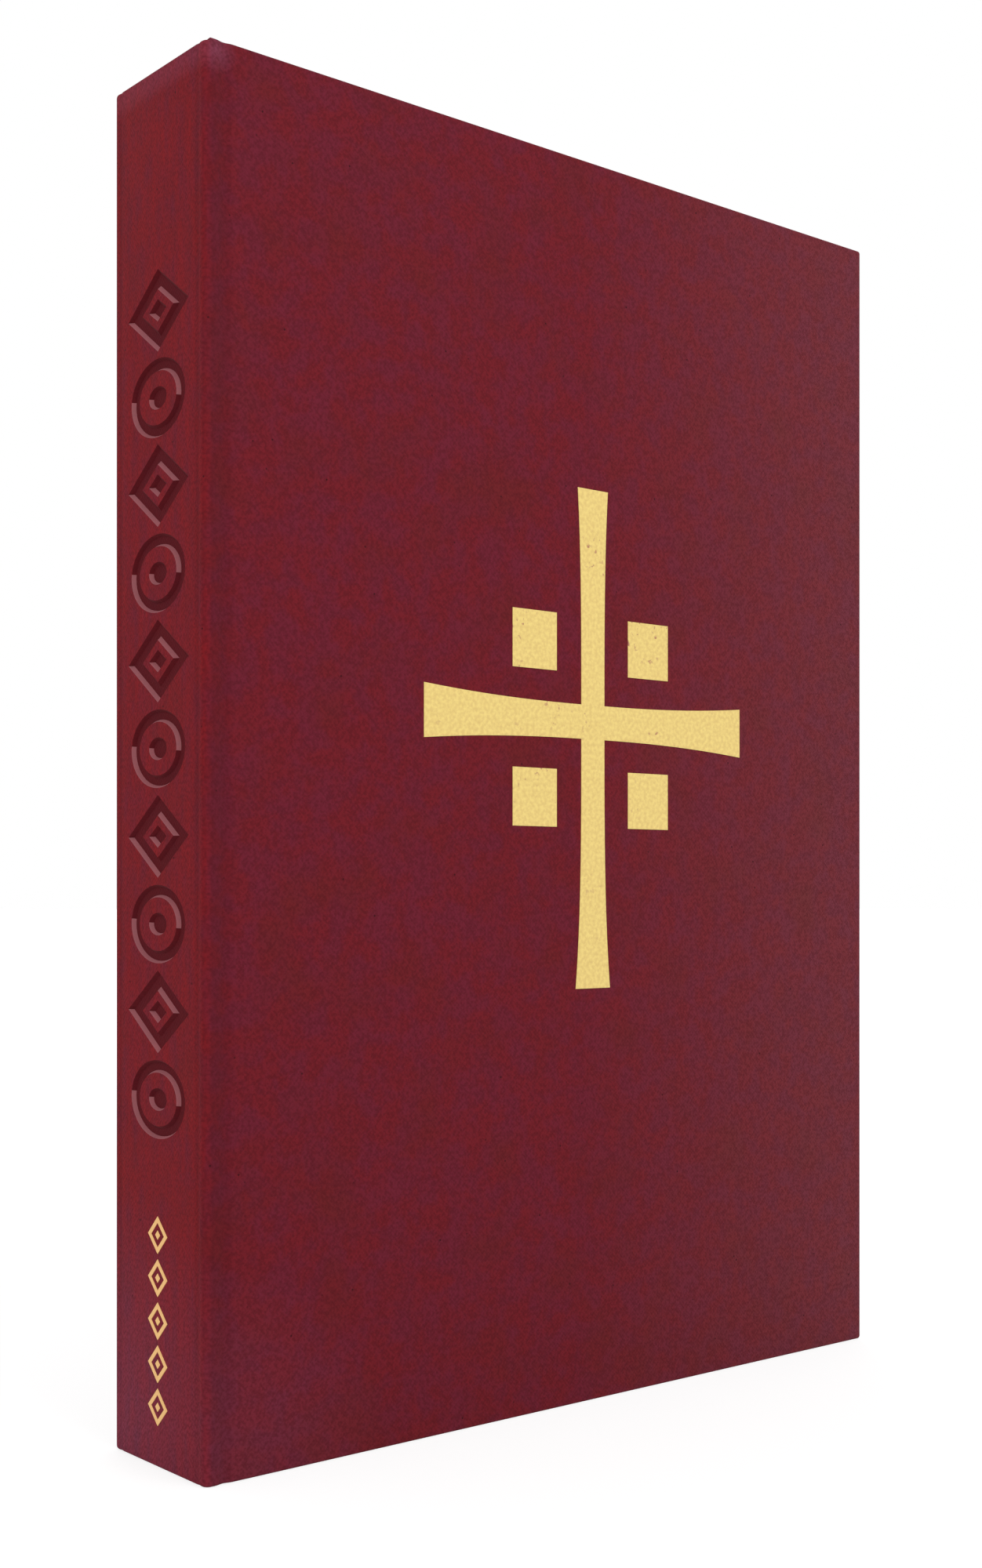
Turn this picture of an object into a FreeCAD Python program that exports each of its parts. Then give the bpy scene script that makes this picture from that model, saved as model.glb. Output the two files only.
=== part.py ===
"""A cloth-bound prayer book, standing upright on its tail, as a parametric model.

Frame: millimetres, +Z up. The origin is the middle of the book's box, on the surface that it stands
on. The spine faces -X, the fore edge +X, the front cover -Y and the back cover +Y.

The case is two boards and a spine board in book cloth. The text block is two halves of sewn
signatures, which open about the two shoulder lines of the spine, and each cover opens further
about the same line.
"""

import FreeCAD, Part
import os
import re

import Sketcher

SIZES = {
    # pages
    "page_width": 175,
    "page_height": 254,
    "signature_thickness": 1.84,
    "signatures_per_half": 7,
    "middle_gap": 0.1,
    "leaf_gap": 0.05,
    "endpaper_thickness": 0.15,
    # case
    "cloth_thickness": 0.4,
    "turn_in": 15,
    "board_thickness": 2.5,
    "board_overhang": 3,
    "spine_board_thickness": 2,
    "joint_width": 7,
    "groove_depth": 1.5,
    # back of the text block
    "hollow_clearance": 0.1,
    "lining_thickness": 0.2,
    "lining_inset": 6,
    "mull_thickness": 0.2,
    "mull_inset": 12,
    "flange_width": 25,
    "thread_space": 0.4,
    "thread_diameter": 0.3,
    "thread_rows": 5,
    "thread_inset": 22,
    "headband_diameter": 2.2,
    "headband_gap": 0.1,
    "headband_tape_height": 9,
    "headband_tape_thickness": 0.2,
    # gold stamping
    "foil_thickness": 0.05,
    "stamp_depth": 0.08,
    "cross_shift": -1,
    "cross_height_up": 142.8,
    "cross_above": 49,
    "cross_below": 56,
    "cross_beside": 45,
    "stem_width": 6.6,
    "stem_top_width": 8.6,
    "stem_foot_width": 9.8,
    "arm_width": 7.2,
    "arm_end_width": 10.8,
    "corner_square": 12.4,
    "corner_square_offset": 16.3,
    "lozenge_side": 5,
    "lozenge_stroke": 0.9,
    "lozenge_pitch": 8,
    "lozenge_count": 5,
    "lozenge_chain_height": 27.3,
}

# What follows from the sizes. Faces are measured outward from the middle of the book, Y = 0.
DERIVED = {
    "half_pages": "middle_gap / 2 + signatures_per_half * signature_thickness",
    "flyleaf_face": "half_pages + leaf_gap",
    "hinge_offset": "flyleaf_face + endpaper_thickness + leaf_gap",
    "pastedown_face": "hinge_offset + leaf_gap",
    "turn_in_face": "pastedown_face + endpaper_thickness",
    "board_face": "turn_in_face + cloth_thickness",
    "board_back": "board_face + board_thickness",
    "half_depth": "board_back + cloth_thickness",
    "hollow_gap": "cloth_thickness + hollow_clearance",
    "back_build": "hollow_gap + lining_thickness + mull_thickness + thread_space",
    "overall_width": "2 * cloth_thickness + spine_board_thickness + back_build"
    " + page_width + board_overhang",
    "spine_outer": "-overall_width / 2",
    "spine_board_outer": "spine_outer + cloth_thickness",
    "spine_board_inner": "spine_board_outer + spine_board_thickness",
    "lining_outer": "spine_board_inner + hollow_gap",
    "mull_outer": "lining_outer + lining_thickness",
    "thread_outer": "mull_outer + mull_thickness",
    "fold_line": "thread_outer + thread_space",
    "board_hinge_edge": "spine_board_inner + joint_width",
    "board_fore_edge": "fold_line + page_width + board_overhang",
    "board_width": "board_fore_edge - board_hinge_edge",
    "board_height": "page_height + 2 * board_overhang",
    "overall_height": "board_height + 2 * cloth_thickness",
    "page_bottom": "cloth_thickness + board_overhang",
    "page_top": "page_bottom + page_height",
    "cross_centre": "(board_hinge_edge + board_fore_edge) / 2 + cross_shift",
}

SIDES = (("front", -1), ("back", 1))

doc = FreeCAD.newDocument("PrayerBook")
sheet = doc.addObject("Spreadsheet::Sheet", "Sizes")
for row, (alias, value) in enumerate([*SIZES.items(), *DERIVED.items()], start=1):
    text = str(value)
    sheet.set(f"A{row}", alias)
    sheet.set(f"B{row}", f"={text}" if alias in DERIVED else text)
    sheet.setAlias(f"B{row}", alias)
doc.recompute()

subparts = []


def bound(expression):
    """An expression in the sheet's own words, as the document writes it."""
    return re.sub(r"[a-z]\w*\b(?!\()", lambda word: f"Sizes.{word.group()}", str(expression))


def count(alias):
    return round(float(sheet.get(alias)))


def keep(label, shape_object):
    """Marks an object as a sub-part, written to a file of this name."""
    shape_object.Label = label
    subparts.append(shape_object)
    return shape_object


def place(thing, x, y, z, rotation=None):
    """Binds an object's position to the sheet."""
    if rotation:
        thing.Placement = FreeCAD.Placement(FreeCAD.Vector(), rotation)
    for axis, value in zip("xyz", (x, y, z)):
        thing.setExpression(f"Placement.Base.{axis}", bound(value))


def block(low, size):
    """A box from its low corner and its size, both as expressions."""
    box = doc.addObject("Part::Box", "Block")
    for name, value in zip(("Length", "Width", "Height"), size):
        box.setExpression(name, bound(value))
    place(box, *low)
    return box


def layer(sign, x, width, face, thickness, z, height):
    """A sheet or board that lies flat, with its inner face this far from the book's middle."""
    low = face if sign > 0 else f"-({face} + {thickness})"
    return block((x, low, z), (width, thickness, height))


def rod(x, y, z, radius, length, direction):
    """A cylinder that starts at a point and runs along a direction."""
    cylinder = doc.addObject("Part::Cylinder", "Rod")
    cylinder.setExpression("Radius", bound(radius))
    cylinder.setExpression("Height", bound(length))
    turn = FreeCAD.Rotation(FreeCAD.Vector(0, 0, 1), FreeCAD.Vector(*direction))
    place(cylinder, x, y, z, turn)
    return cylinder


def cut(base, tool):
    result = doc.addObject("Part::Cut", "Cut")
    result.Base, result.Tool = base, tool
    return result


def fuse(pieces):
    result = doc.addObject("Part::MultiFuse", "Fuse")
    result.Shapes = pieces
    result.Refine = True
    return result


def prism(points, height):
    """A body: a polygon on the ground plane, every corner bound to the sheet, raised to a height."""
    body = doc.addObject("PartDesign::Body", "Body")
    sketch = body.newObject("Sketcher::SketchObject", "Profile")
    plane = next(f for f in body.Origin.OriginFeatures if f.Role == "XY_Plane")
    sketch.AttachmentSupport = [(plane, "")]
    sketch.MapMode = "FlatFace"
    # The sheet's values give the sketch its first shape, and the constraints then hold it.
    scratch = sheet_values(points)
    corners = [FreeCAD.Vector(x, y, 0) for x, y in scratch]
    for start, end in zip(corners, corners[1:] + corners[:1]):
        sketch.addGeometry(Part.LineSegment(start, end), False)
    for line in range(len(corners)):
        after = (line + 1) % len(corners)
        sketch.addConstraint(Sketcher.Constraint("Coincident", line, 2, after, 1))
    for line, (corner, (x, y)) in enumerate(zip(corners, points)):
        for kind, value, expression in (("DistanceX", corner.x, x), ("DistanceY", corner.y, y)):
            datum = sketch.addConstraint(Sketcher.Constraint(kind, -1, 1, line, 1, value))
            sketch.setExpression(f"Constraints[{datum}]", bound(expression))
    pad = body.newObject("PartDesign::Pad", "Pad")
    pad.Profile = sketch
    pad.setExpression("Length", bound(height))
    return body


def sheet_values(points):
    """The numbers that pairs of expressions now give."""
    return [tuple(sheet.evalExpression(bound(value)) for value in point) for point in points]


# Signatures: folded sections, with their rounded folds on the spine side.
total = 2 * count("signatures_per_half")
for number in range(total):
    y = f"-signatures_per_half * signature_thickness + {number} * signature_thickness"
    y += " - middle_gap / 2" if number < total / 2 else " + middle_gap / 2"
    radius = "signature_thickness / 2"
    leaves = block(
        (f"fold_line + {radius}", y, "page_bottom"),
        (f"page_width - {radius}", "signature_thickness", "page_height"),
    )
    fold = rod(
        f"fold_line + {radius}", f"{y} + {radius}", "page_bottom", radius, "page_height", (0, 0, 1)
    )
    keep(f"signature_{number + 1:02d}", fuse([leaves, fold]))

# Sewing: a thread across the folds at each station.
first = "page_bottom + thread_inset"
step = "(page_height - 2 * thread_inset) / (thread_rows - 1)"
stitches = [
    rod(
        "fold_line - thread_space / 2",
        "-half_pages + signature_thickness / 2",
        f"{first} + {row} * {step}",
        "thread_diameter / 2",
        "2 * half_pages - signature_thickness",
        (0, 1, 0),
    )
    for row in range(count("thread_rows"))
]
keep("sewing_thread", fuse(stitches))

# Head and tail bands: a bead over the end of the folds, on a tape glued to them.
band_radius = "headband_diameter / 2"
for name, bead_z, tape_z in (
    ("headband", f"page_top + headband_gap + {band_radius}", "page_top - headband_tape_height"),
    ("tailband", f"page_bottom - headband_gap - {band_radius}", f"page_bottom - {band_radius}"),
):
    bead = rod(
        f"fold_line - headband_tape_thickness / 2 + {band_radius} / 2",
        "-half_pages",
        bead_z,
        band_radius,
        "2 * half_pages",
        (0, 1, 0),
    )
    tape = block(
        ("fold_line - headband_gap - headband_tape_thickness", "-half_pages", tape_z),
        ("headband_tape_thickness", "2 * half_pages", f"headband_tape_height + {band_radius}"),
    )
    keep(name, fuse([bead, tape]))

# Back linings: the open-weave mull over the threads, and the paper lining over the mull.
keep(
    "mull_spine",
    block(
        ("mull_outer", "-hinge_offset", "page_bottom + mull_inset"),
        ("mull_thickness", "2 * hinge_offset", "page_height - 2 * mull_inset"),
    ),
)
keep(
    "spine_lining",
    block(
        ("lining_outer", "-half_pages", "page_bottom + lining_inset"),
        ("lining_thickness", "2 * half_pages", "page_height - 2 * lining_inset"),
    ),
)

# Spine of the case: its board, and the cloth over it, turned in at head and tail.
spine_box = (
    ("spine_board_outer", "-board_back", "cloth_thickness"),
    ("spine_board_thickness", "2 * board_back", "board_height"),
)
keep("spine_board", block(*spine_box))
spine_skin = block(
    ("spine_outer", "-half_depth", "0"),
    ("cloth_thickness + spine_board_thickness", "2 * half_depth", "overall_height"),
)
spine_room = block(
    ("spine_board_outer", "-board_back", "cloth_thickness"),
    ("2 * spine_board_thickness", "2 * board_back", "board_height"),
)
spine_turn_ins = [
    block(
        ("spine_board_inner", "-hinge_offset", z),
        ("cloth_thickness", "2 * hinge_offset", "turn_in"),
    )
    for z in ("0", "overall_height - turn_in")
]


def lozenge_chain(depth, thickness):
    """The chain of open lozenges up the spine, from this depth below its face outward."""
    turn = FreeCAD.Rotation(FreeCAD.Vector(1, 0, 0), 45)
    face = f"spine_outer + {depth} - {thickness}"
    links = []
    for link in range(count("lozenge_count")):
        middle = f"lozenge_chain_height + ({link} - (lozenge_count - 1) / 2) * lozenge_pitch"
        rings = []
        for side in ("lozenge_side", "(lozenge_side - 2 * lozenge_stroke)"):
            ring = block(("0", "0", "0"), (thickness, side, side))
            place(ring, face, "0", f"{middle} - {side} * sqrt(0.5)", turn)
            rings.append(ring)
        dot = block(("0", "0", "0"), (thickness, "lozenge_stroke", "lozenge_stroke"))
        place(dot, face, "0", f"{middle} - lozenge_stroke * sqrt(0.5)", turn)
        links += [cut(*rings), dot]
    return fuse(links)


spine_wrap = fuse([cut(spine_skin, spine_room), *spine_turn_ins])
keep("spine_cloth", cut(spine_wrap, lozenge_chain("stamp_depth", "2 * stamp_depth")))
keep("spine_ornament", lozenge_chain("stamp_depth", "foil_thickness"))


def emblem(thickness):
    """The flared cross and its four squares, from the bottom of the stamping outward."""
    back = "stamp_depth - half_depth"
    arms = []
    for length, middle, end, turn in (
        ("cross_above", "stem_width", "stem_top_width", FreeCAD.Rotation(FreeCAD.Vector(1, 0, 0), 90)),
        ("cross_below", "stem_width", "stem_foot_width", FreeCAD.Rotation(0, 180, 90)),
        ("cross_beside", "arm_width", "arm_end_width", FreeCAD.Rotation(0, 90, 90)),
        ("cross_beside", "arm_width", "arm_end_width", FreeCAD.Rotation(0, -90, 90)),
    ):
        arm = doc.addObject("Part::Wedge", "Arm")
        for name, value in (
            ("Xmin", f"-{middle} / 2"),
            ("Xmax", f"{middle} / 2"),
            ("X2min", f"-{end} / 2"),
            ("X2max", f"{end} / 2"),
            ("Ymin", "0"),
            ("Ymax", length),
            ("Zmin", "0"),
            ("Zmax", thickness),
            ("Z2min", "0"),
            ("Z2max", thickness),
        ):
            arm.setExpression(name, bound(value))
        place(arm, "cross_centre", back, "cross_height_up", turn)
        arms.append(arm)
    half = "corner_square / 2"
    squares = [
        block(
            (
                f"cross_centre + {across} * corner_square_offset - {half}",
                f"{back} - {thickness}",
                f"cross_height_up + {up} * corner_square_offset - {half}",
            ),
            ("corner_square", thickness, "corner_square"),
        )
        for across in (-1, 1)
        for up in (-1, 1)
    ]
    return fuse([*arms, *squares])


# The two covers and what joins them to the spine and the pages.
for side, sign in SIDES:
    inner_height = "overall_height - 2 * turn_in"
    window_width = "board_width + cloth_thickness - turn_in"

    keep(
        f"{side}_board",
        layer(
            sign, "board_hinge_edge", "board_width", "board_face", "board_thickness",
            "cloth_thickness", "board_height",
        ),
    )

    wrap = layer(
        sign, "board_hinge_edge", "board_width + cloth_thickness", "turn_in_face",
        "(board_thickness + 2 * cloth_thickness)", "0", "overall_height",
    )
    board_room = layer(
        sign, "board_hinge_edge", "board_width", "board_face", "board_thickness",
        "cloth_thickness", "board_height",
    )
    window = layer(
        sign, "board_hinge_edge", window_width, "turn_in_face", "cloth_thickness",
        "turn_in", inner_height,
    )
    cloth = cut(cut(wrap, board_room), window)
    if side == "front":
        cloth = cut(cloth, emblem("2 * stamp_depth"))
    keep(f"{side}_cloth", cloth)

    keep(
        f"{side}_mull_flange",
        layer(
            sign, "board_hinge_edge", "flange_width", "board_face - mull_thickness",
            "mull_thickness", "turn_in", inner_height,
        ),
    )
    keep(
        f"{side}_infill",
        layer(
            sign, "board_hinge_edge + flange_width", f"{window_width} - flange_width", "turn_in_face",
            "cloth_thickness", "turn_in", inner_height,
        ),
    )
    keep(
        f"{side}_pastedown",
        layer(
            sign, "board_hinge_edge", "fold_line + page_width - board_hinge_edge", "pastedown_face",
            "endpaper_thickness", "page_bottom", "page_height",
        ),
    )
    keep(
        f"{side}_flyleaf",
        layer(
            sign, "fold_line", "page_width", "flyleaf_face", "endpaper_thickness",
            "page_bottom", "page_height",
        ),
    )
    keep(
        f"{side}_hinge_paper",
        layer(
            sign, "fold_line", "board_hinge_edge - fold_line", "pastedown_face",
            "endpaper_thickness", "page_bottom", "page_height",
        ),
    )
    keep(
        f"{side}_hinge_mull",
        layer(
            sign, "fold_line", "board_hinge_edge - fold_line", "turn_in_face", "mull_thickness",
            "page_bottom + mull_inset", "page_height - 2 * mull_inset",
        ),
    )

    # The joint cloth dips into the groove between the spine board and the cover board.
    outer = [
        ("spine_board_inner", "half_depth"),
        ("spine_board_inner + groove_depth", "half_depth - groove_depth"),
        ("board_hinge_edge - groove_depth", "half_depth - groove_depth"),
        ("board_hinge_edge", "half_depth"),
    ]
    inner = [(x, f"{y} - cloth_thickness") for x, y in reversed(outer)]
    points = [(x, f"{sign} * ({y})") for x, y in outer + inner]
    keep(f"{side}_joint_cloth", prism(points, "overall_height"))

keep("front_emblem", emblem("foil_thickness"))

doc.recompute()
failed = [thing.Label for thing in doc.Objects if {"Invalid", "Error"} & set(thing.State)]
failed += [part.Label for part in subparts if part.Shape.isNull() or not part.Shape.isValid()]
if failed:
    raise RuntimeError(f"not built: {failed}")

os.makedirs("parts", exist_ok=True)
for part in subparts:
    part.Shape.exportStep(f"parts/{part.Label}.step")
print(len(subparts), "sub-parts")
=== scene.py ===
"""A cloth-bound prayer book, standing upright on its tail edge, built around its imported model.

Metres, +Z up. The spine faces -X, the fore edge +X, the front cover -Y and the back cover +Y.
"""

import math
import random

import bmesh
import bpy
from mathutils import Matrix, Vector


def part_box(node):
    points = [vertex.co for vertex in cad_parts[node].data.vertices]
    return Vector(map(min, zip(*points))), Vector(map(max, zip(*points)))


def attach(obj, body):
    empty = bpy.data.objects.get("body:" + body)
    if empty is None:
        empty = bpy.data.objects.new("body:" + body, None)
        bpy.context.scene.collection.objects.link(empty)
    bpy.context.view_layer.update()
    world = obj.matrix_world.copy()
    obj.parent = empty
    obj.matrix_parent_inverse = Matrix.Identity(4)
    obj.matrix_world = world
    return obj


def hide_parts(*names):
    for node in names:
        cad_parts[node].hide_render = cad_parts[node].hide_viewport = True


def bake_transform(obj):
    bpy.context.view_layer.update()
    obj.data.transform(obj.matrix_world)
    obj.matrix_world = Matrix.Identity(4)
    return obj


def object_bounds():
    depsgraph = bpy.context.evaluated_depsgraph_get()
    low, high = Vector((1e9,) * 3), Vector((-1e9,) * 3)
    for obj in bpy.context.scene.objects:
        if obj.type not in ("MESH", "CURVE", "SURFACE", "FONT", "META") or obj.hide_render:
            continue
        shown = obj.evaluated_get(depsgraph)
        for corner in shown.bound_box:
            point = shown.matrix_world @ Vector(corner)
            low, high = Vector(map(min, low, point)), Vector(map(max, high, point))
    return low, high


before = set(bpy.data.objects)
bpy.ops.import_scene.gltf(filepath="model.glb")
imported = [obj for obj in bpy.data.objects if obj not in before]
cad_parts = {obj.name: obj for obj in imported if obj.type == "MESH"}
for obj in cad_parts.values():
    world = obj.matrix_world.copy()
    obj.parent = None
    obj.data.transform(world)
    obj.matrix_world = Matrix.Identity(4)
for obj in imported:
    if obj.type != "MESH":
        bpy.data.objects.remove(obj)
cad_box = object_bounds()
MM = 0.001
SIDES = (("front", -1), ("back", 1))


# Book cloth. The covers, the joints and the spine are one sheet of cotton cloth in a plain weave,
# dyed burgundy and starched, glued to the boards. It is matt, with a dusty sheen where the light
# grazes it, blotches from the dye, and threads that are a little uneven.

CLOTH_RED = "#711a24"
CLOTH_PLUM = "#6b1d2e"
CLOTH_BROWN = "#691d21"
# Painted shade for the low parts of the weave and grain.
CLOTH_WEAVE_SHADE = "#480d15"
# Painted light for the spine's face.
CLOTH_SPINE_LIT = "#85191f"
# Painted shade, with the heat's darkening, in the tooled ornaments, and a painted highlight on their
# ledges.
CLOTH_PRESSED_AND_SHADED = "#4e0d15"
CLOTH_TOOLED_HIGHLIGHT = "#ae7076"
# Real threads of 0.25 mm would vanish at this distance, so weave and grain are drawn coarser.
CLOTH_THREAD = 0.45 * MM
CLOTH_GRAIN = 0.65 * MM
CLOTH_MOTTLE = 4.5 * MM
CLOTH_PATCH = 14 * MM
CLOTH_STREAK = 2.4 * MM
CLOTH_SPECKS = 5 * MM
CLOTH_SPECK = "#2c0a10"
CLOTH_SHEEN = "#d09aa0"
# A painted sheen highlight for the head of each joint.
CLOTH_HEAD_HIGHLIGHT = "#a65c78"
# A painted sheen towards the fore edge.
CLOTH_FORE_EDGE_SHEEN = "#8a7c84"
CLOTH_FOOT_PALE = "#8c6086"
# Where the spine's painted light fades out, round its long edges.
SPINE_TONE = (cad_box[0].x + 0.25 * MM, cad_box[0].x + 1.55 * MM)
# Painted shade in thin lines round the spine's long edges: how far round the edge in mm, and how light
# the cloth is painted there: below 0 on the spine's face, and above 0 down the joint. They are drawn
# over a slightly longer span.
CREASE_SHADES = (
    (-3.9, 1), (-2.6, 0.82), (-1.9, 0.96), (-1.4, 1), (-0.8, 0.87), (0.3, 0.93), (0.9, 0.93), (1.6, 0.85),
    (3.4, 0.86), (4.8, 0.9), (6.4, 1),
)
CREASES_FROM, CREASES_TO = -4.5 * MM, 9 * MM
# The head of each joint, where a pale pink patch is painted as a sheen highlight, and how far it reaches.
HEAD_HIGHLIGHT_AT = (cad_box[0].x + 2.25 * MM, 0, cad_box[1].z - 2 * MM)
HEAD_HIGHLIGHT_REACH = 4.5 * MM
# The foot of the spine, where the cloth turns paler and greyer, most at its back corner.
FOOT_PALE_AT = (cad_box[0].x, cad_box[1].y, 0)
FOOT_PALE_REACH = 52 * MM


def linear(colour):
    """The linear colour of an sRGB hex value."""
    channels = [int(colour[i : i + 2], 16) / 255 for i in (1, 3, 5)]
    return [c / 12.92 if c <= 0.04045 else ((c + 0.055) / 1.055) ** 2.4 for c in channels] + [1]


def add(tree, kind, inputs, **settings):
    """Adds a node with its settings, and links its inputs or gives them a value."""
    made = tree.nodes.new(kind)
    for name, value in settings.items():
        setattr(made, name, value)
    for socket, value in inputs.items():
        if isinstance(value, bpy.types.NodeSocket):
            tree.links.new(value, made.inputs[socket])
        else:
            made.inputs[socket].default_value = value
    return made


def new_finish(name, **constants):
    """A material of one Principled shader, with what is the same all over on its own sockets."""
    material = bpy.data.materials.new(name)
    material.use_nodes = True
    shader = material.node_tree.nodes["Principled BSDF"]
    for socket, value in constants.items():
        shader.inputs[socket.replace("_", " ")].default_value = value
    return material, material.node_tree, shader


def noise_between(tree, place, size, low, high, detail=2.0, stretch=(1, 1, 1)):
    """Noise with lumps of this size, spread to run from 0 at low to 1 at high."""
    scaled = add(tree, "ShaderNodeMapping", {"Vector": place, "Scale": stretch})
    lumps = {"Vector": scaled.outputs[0], "Scale": 1 / size, "Detail": detail}
    noise = add(tree, "ShaderNodeTexNoise", lumps)
    spread = {0: noise.outputs[0], 1: low, 2: high}
    return add(tree, "ShaderNodeMapRange", spread, interpolation_type="SMOOTHSTEP").outputs[0]


def plain_weave(tree, place, spacing):
    """The height of a plain weave, 0 in the gaps and 1 on top of the threads."""
    wander = {"Vector": place, "Scale": 1 / (6 * spacing), "Detail": 1.0}
    drift = add(tree, "ShaderNodeTexNoise", wander).outputs["Color"]
    drift = add(tree, "ShaderNodeVectorMath", {0: drift, "Scale": 1.3 * spacing}, operation="SCALE")
    moved = add(tree, "ShaderNodeVectorMath", {0: place, 1: drift.outputs[0]}, operation="ADD")
    axes = add(tree, "ShaderNodeSeparateXYZ", {0: moved.outputs[0]}).outputs
    # The sum of X and Y runs along the covers and across the spine alike.
    around = add(tree, "ShaderNodeMath", {0: axes[0], 1: axes[1]}, operation="ADD").outputs[0]
    waves = []
    for run in (around, axes[2]):
        turn = add(tree, "ShaderNodeMath", {0: run, 1: math.pi / spacing}, operation="MULTIPLY")
        waves.append(add(tree, "ShaderNodeMath", {0: turn.outputs[0]}, operation="SINE").outputs[0])
    crossing = add(tree, "ShaderNodeMath", {0: waves[0], 1: waves[1]}, operation="MULTIPLY")
    height = {0: crossing.outputs[0], 1: 0.5, 2: 0.5}
    return add(tree, "ShaderNodeMath", height, operation="MULTIPLY_ADD").outputs[0]


book_cloth, tree, shader = new_finish(
    "book_cloth_cotton", Roughness=0.88, Specular_IOR_Level=0.12, Sheen_Weight=0.04, Sheen_Roughness=0.4
)
shader.inputs["Sheen Tint"].default_value = linear(CLOTH_SHEEN)
place = add(tree, "ShaderNodeAttribute", {}, attribute_name="place").outputs["Vector"]
threads = plain_weave(tree, place, CLOTH_THREAD)
mottle = noise_between(tree, place, CLOTH_MOTTLE, 0.35, 0.65, detail=3.0)
patches = noise_between(tree, place, CLOTH_PATCH, 0.45, 0.85, detail=3.0)
grain = noise_between(tree, place, CLOTH_GRAIN, 0.3, 0.7, detail=3.0)
ends = {0: mottle, 6: linear(CLOTH_RED), 7: linear(CLOTH_PLUM)}
colour = add(tree, "ShaderNodeMix", ends, data_type="RGBA").outputs[2]
ends = {0: patches, 6: colour, 7: linear(CLOTH_BROWN)}
colour = add(tree, "ShaderNodeMix", ends, data_type="RGBA").outputs[2]
# The spine's face is painted redder and brighter in faint streaks along it: painted light for how the lamps
# fall on the spine.
place_x, place_y, _ = add(tree, "ShaderNodeSeparateXYZ", {0: place}).outputs
fading = {0: place_x, 1: SPINE_TONE[0], 2: SPINE_TONE[1], 3: 1.0, 4: 0.0}
on_spine = add(tree, "ShaderNodeMapRange", fading).outputs[0]
streaks = noise_between(tree, place, CLOTH_STREAK, 0.1, 0.9, stretch=(1, 1, 0.2))
redder = add(tree, "ShaderNodeMath", {0: on_spine, 1: streaks}, operation="MULTIPLY").outputs[0]
ends = {0: redder, 6: colour, 7: linear(CLOTH_SPINE_LIT)}
colour = add(tree, "ShaderNodeMix", ends, data_type="RGBA").outputs[2]
# Painted shade in thin lines beside the spine's long edges, where the rounded edge and its crease would
# shade, and a painted shade down the joint's groove.
inward = add(tree, "ShaderNodeMath", {0: place_x, 1: -cad_box[0].x}, operation="ADD").outputs[0]
sideways = add(tree, "ShaderNodeMath", {0: place_y}, operation="ABSOLUTE").outputs[0]
sideways = add(tree, "ShaderNodeMath", {0: sideways, 1: -cad_box[1].y}, operation="ADD").outputs[0]
round_edge = add(tree, "ShaderNodeMath", {0: inward, 1: sideways}, operation="ADD").outputs[0]
across = add(tree, "ShaderNodeMapRange", {0: round_edge, 1: CREASES_FROM, 2: CREASES_TO})
crease_shades = add(tree, "ShaderNodeValToRGB", {0: across.outputs[0]})
crease_shades.color_ramp.elements[0].color = (1, 1, 1, 1)
for at, shade in CREASE_SHADES:
    stop = crease_shades.color_ramp.elements.new((at * MM - CREASES_FROM) / (CREASES_TO - CREASES_FROM))
    stop.color = (shade, shade, shade, 1)
both = {0: 1.0, 6: colour, 7: crease_shades.outputs[0]}
colour = add(tree, "ShaderNodeMix", both, data_type="RGBA", blend_type="MULTIPLY").outputs[2]
# A painted sheen highlight makes the head of each joint pale.
flat = add(tree, "ShaderNodeVectorMath", {0: place, 1: (1, 0, 1)}, operation="MULTIPLY").outputs[0]
apart = {0: flat, 1: HEAD_HIGHLIGHT_AT}
apart = add(tree, "ShaderNodeVectorMath", apart, operation="DISTANCE").outputs["Value"]
fading = {0: apart, 1: 0.0, 2: HEAD_HIGHLIGHT_REACH, 3: 0.3, 4: 0.0}
head_highlight = add(tree, "ShaderNodeMapRange", fading).outputs[0]
ends = {0: head_highlight, 6: colour, 7: linear(CLOTH_HEAD_HIGHLIGHT)}
colour = add(tree, "ShaderNodeMix", ends, data_type="RGBA").outputs[2]
# The cloth is paler and greyer towards the foot of the spine's back corner.
apart = add(tree, "ShaderNodeVectorMath", {0: place, 1: FOOT_PALE_AT}, operation="DISTANCE").outputs["Value"]
fading = {0: apart, 1: 0.0, 2: FOOT_PALE_REACH, 3: 0.2, 4: 0.0}
foot_pale = add(tree, "ShaderNodeMapRange", fading).outputs[0]
ends = {0: foot_pale, 6: colour, 7: linear(CLOTH_FOOT_PALE)}
colour = add(tree, "ShaderNodeMix", ends, data_type="RGBA").outputs[2]
# A painted sheen greys the cloth a little towards the fore edge.
growing = {0: place_x, 1: 0.0, 2: cad_box[1].x, 3: 0.0, 4: 0.08}
fore_edge_sheen = add(tree, "ShaderNodeMapRange", growing).outputs[0]
ends = {0: fore_edge_sheen, 6: colour, 7: linear(CLOTH_FORE_EDGE_SHEEN)}
colour = add(tree, "ShaderNodeMix", ends, data_type="RGBA").outputs[2]
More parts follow.
